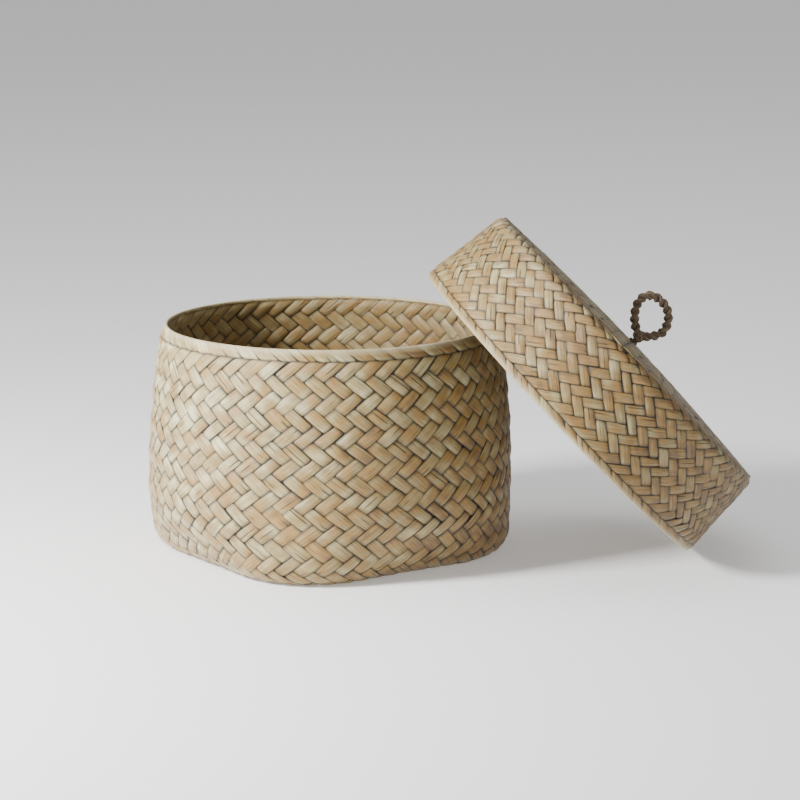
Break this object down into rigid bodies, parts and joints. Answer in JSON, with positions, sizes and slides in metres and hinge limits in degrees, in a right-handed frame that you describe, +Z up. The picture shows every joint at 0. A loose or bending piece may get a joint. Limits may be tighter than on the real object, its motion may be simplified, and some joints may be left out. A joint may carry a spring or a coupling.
{
  "type": "lidded storage basket",
  "caption": "Plaited seagrass basket with a round rim, a soft square base and a lid with a cord loop, the lid leaning on the rim.",
  "frame": {"origin": "middle of the basket's base, on the floor", "axes": "+Z up, +X towards the lid that leans on the rim, -Y towards the side from which the lid is seen edge-on"},
  "size_m": [0.3997, 0.27, 0.2232],
  "materials": {
    "seagrass": "dry plaited seagrass strips, satin, fine lengthwise fibres",
    "seagrass_lining": "the same strips on the inside, a little darker and browner",
    "seagrass_fold": "strips turned back over the edge, pale and satin",
    "seagrass_lid": "narrower plaited seagrass strips, satin",
    "handle_cord": "two-ply twisted plant-fibre cord, dark brown, rough"
  },
  "bodies": {
    "basket": {"basket_outer_wall": "seagrass", "basket_outer_base": "seagrass", "basket_lining_wall": "seagrass_lining", "basket_lining_base": "seagrass_lining", "basket_rim_fold": "seagrass_fold"},
    "knot": {"handle_knot": "handle_cord"},
    "lid": {"lid_outer_skirt": "seagrass_lid", "lid_outer_top": "seagrass_lid", "lid_lining_skirt": "seagrass_lining", "lid_lining_top": "seagrass_lining", "lid_edge_fold": "seagrass_fold", "handle_root": "handle_cord"},
    "loop": {"handle_loop": "handle_cord"}
  },
  "joints": [
    {"name": "lid_carry", "type": "hinge", "parent": "basket", "child": "knot", "pos_m": [0.09666, -0.01081, 0.14813], "axis": [-0.1111, -0.9938, 0], "range_deg": [0, 185.89]},
    {"name": "lid_tilt", "type": "hinge", "parent": "knot", "child": "lid", "pos_m": [0.19231, -0.0215, 0.13332], "axis": [-0.092, -0.995, 0.0385], "range_deg": [-139.7, 0]},
    {"name": "loop_tilt", "type": "hinge", "parent": "lid", "child": "loop", "pos_m": [0.20435, -0.0215, 0.14474], "axis": [0, -1, 0], "range_deg": [-38, 20]}
  ],
  "couplings": [
    {"joint": "lid_tilt", "follows": "lid_carry", "ratio": -0.75098}
  ]
}
